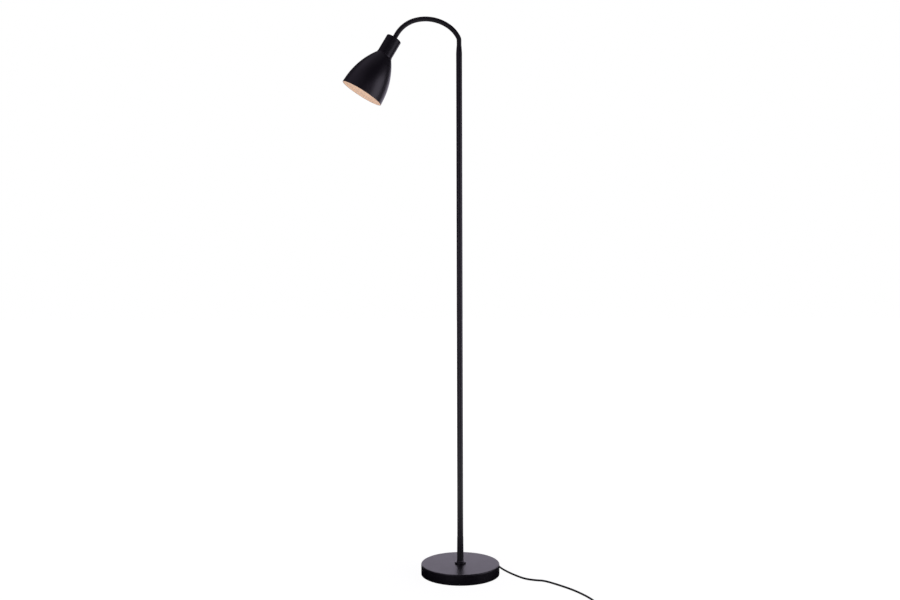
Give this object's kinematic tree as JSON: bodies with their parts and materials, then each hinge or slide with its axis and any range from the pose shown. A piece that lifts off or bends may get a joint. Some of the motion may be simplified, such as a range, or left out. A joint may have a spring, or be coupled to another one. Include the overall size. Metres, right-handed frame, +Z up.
{
  "type": "gooseneck floor lamp",
  "caption": "Reading floor lamp with a round weighted base, a slim pole, a flexible gooseneck and a bell shade, with a foot switch and plug on its cord.",
  "frame": {"origin": "centre of the base's underside on the floor", "axes": "+Z up along the pole, the neck and shade lean towards -X, +Y to the rear where the cord leaves the base"},
  "size_m": [0.6422, 0.5653, 1.4972],
  "materials": {
    "lamp_enamel": "satin",
    "lamp_fittings": "satin",
    "wound_steel": "satin",
    "iron": "rough cast",
    "plated_steel": "zinc plated",
    "contact_brass": "satin",
    "black_plastic": "matte",
    "cord_jacket": "matte",
    "pad_rubber": "matte",
    "holder_plastic": "matte",
    "bulb_plastic": "matte",
    "opal": "frosted",
    "tie_fabric": "woven"
  },
  "bodies": {
    "stand": {"base_cover": "lamp_enamel", "base_weight": "iron", "base_bottom_plate": "plated_steel", "bottom_plate_screws": "plated_steel", "base_pad": "pad_rubber", "stem_tube": "plated_steel", "stem_washer": "plated_steel", "stem_nut": "plated_steel", "cord_gland": "black_plastic", "cord_clamp": "black_plastic", "cord_clamp_screws": "plated_steel", "pole_lower": "lamp_enamel", "pole_middle": "lamp_enamel", "pole_upper": "lamp_enamel", "pole_bushes": "plated_steel", "pole_studs": "plated_steel", "pole_foot_collar": "lamp_fittings", "neck_ferrule": "lamp_fittings", "supply_lead": "cord_jacket", "gooseneck_link_1": "wound_steel", "neck_root_nipple": "plated_steel", "neck_lead": "cord_jacket", "floor_cord": "cord_jacket", "cord_coil": "cord_jacket", "cord_to_coil": "cord_jacket", "cord_to_plug": "cord_jacket", "coil_tie": "tie_fabric", "foot_switch_base": "black_plastic", "foot_switch_cover": "black_plastic", "foot_switch_screws": "plated_steel", "foot_switch_contact_block": "black_plastic", "foot_switch_spring": "plated_steel", "foot_switch_boots": "black_plastic", "plug_body": "black_plastic", "plug_pins": "contact_brass"},
    "foot_button": {"foot_switch_button": "black_plastic"},
    "neck_2": {"gooseneck_link_2": "wound_steel"},
    "neck_3": {"gooseneck_link_3": "wound_steel"},
    "neck_4": {"gooseneck_link_4": "wound_steel"},
    "neck_5": {"gooseneck_link_5": "wound_steel"},
    "neck_6": {"gooseneck_link_6": "wound_steel"},
    "neck_7": {"gooseneck_link_7": "wound_steel"},
    "neck_8": {"gooseneck_link_8": "wound_steel"},
    "neck_9": {"gooseneck_link_9": "wound_steel"},
    "head": {"gooseneck_link_10": "wound_steel", "neck_end_nipple": "plated_steel", "socket_cup": "lamp_enamel", "cup_nut": "plated_steel", "lampholder_body": "holder_plastic", "lampholder_screw_shell": "contact_brass", "lampholder_centre_contact": "contact_brass", "shade": "lamp_enamel", "shade_ring": "holder_plastic", "bulb_cap": "plated_steel", "bulb_body": "bulb_plastic", "bulb_globe": "opal"}
  },
  "joints": [
    {"name": "neck_curl_1", "type": "hinge", "parent": "stand", "child": "neck_2", "pos_m": [-0.00002, 0, 1.433], "axis": [0, -1, 0], "range_deg": [-30, 5], "deforming": ["neck_lead"]},
    {"name": "neck_sway_2", "type": "hinge", "parent": "neck_2", "child": "neck_3", "pos_m": [-0.01141, 0, 1.45551], "axis": [-0.7752, 0, -0.6317], "range_deg": [-20, 20], "deforming": ["neck_lead"]},
    {"name": "neck_curl_3", "type": "hinge", "parent": "neck_3", "child": "neck_4", "pos_m": [-0.03038, 0, 1.47261], "axis": [0, -1, 0], "range_deg": [-30, 5], "deforming": ["neck_lead"]},
    {"name": "neck_sway_4", "type": "hinge", "parent": "neck_4", "child": "neck_5", "pos_m": [-0.05321, 0, 1.48414], "axis": [-0.343, 0, -0.9393], "range_deg": [-20, 20], "deforming": ["neck_lead"]},
    {"name": "neck_curl_5", "type": "hinge", "parent": "neck_5", "child": "neck_6", "pos_m": [-0.0781, 0, 1.49003], "axis": [0, -1, 0], "range_deg": [-30, 5], "deforming": ["neck_lead"]},
    {"name": "neck_sway_6", "type": "hinge", "parent": "neck_6", "child": "neck_7", "pos_m": [-0.10368, 0, 1.48996], "axis": [0.1204, 0, -0.9927], "range_deg": [-20, 20], "deforming": ["neck_lead"]},
    {"name": "neck_curl_7", "type": "hinge", "parent": "neck_7", "child": "neck_8", "pos_m": [-0.12845, 0, 1.48367], "axis": [0, -1, 0], "range_deg": [-30, 5], "deforming": ["neck_lead"]},
    {"name": "neck_sway_8", "type": "hinge", "parent": "neck_8", "child": "neck_9", "pos_m": [-0.15019, 0, 1.47028], "axis": [0.6506, 0, -0.7594], "range_deg": [-20, 20], "deforming": ["neck_lead"]},
    {"name": "neck_curl_9", "type": "hinge", "parent": "neck_9", "child": "head", "pos_m": [-0.16676, 0, 1.45085], "axis": [0, -1, 0], "range_deg": [-30, 5], "deforming": ["neck_lead"]},
    {"name": "foot_switch_press", "type": "slide", "parent": "stand", "child": "foot_button", "axis": [0, 0, 1], "range_m": [-0.003, 0], "stiffness_N_per_m": 300, "springref_m": 0.002, "deforming": ["foot_switch_spring"]}
  ]
}
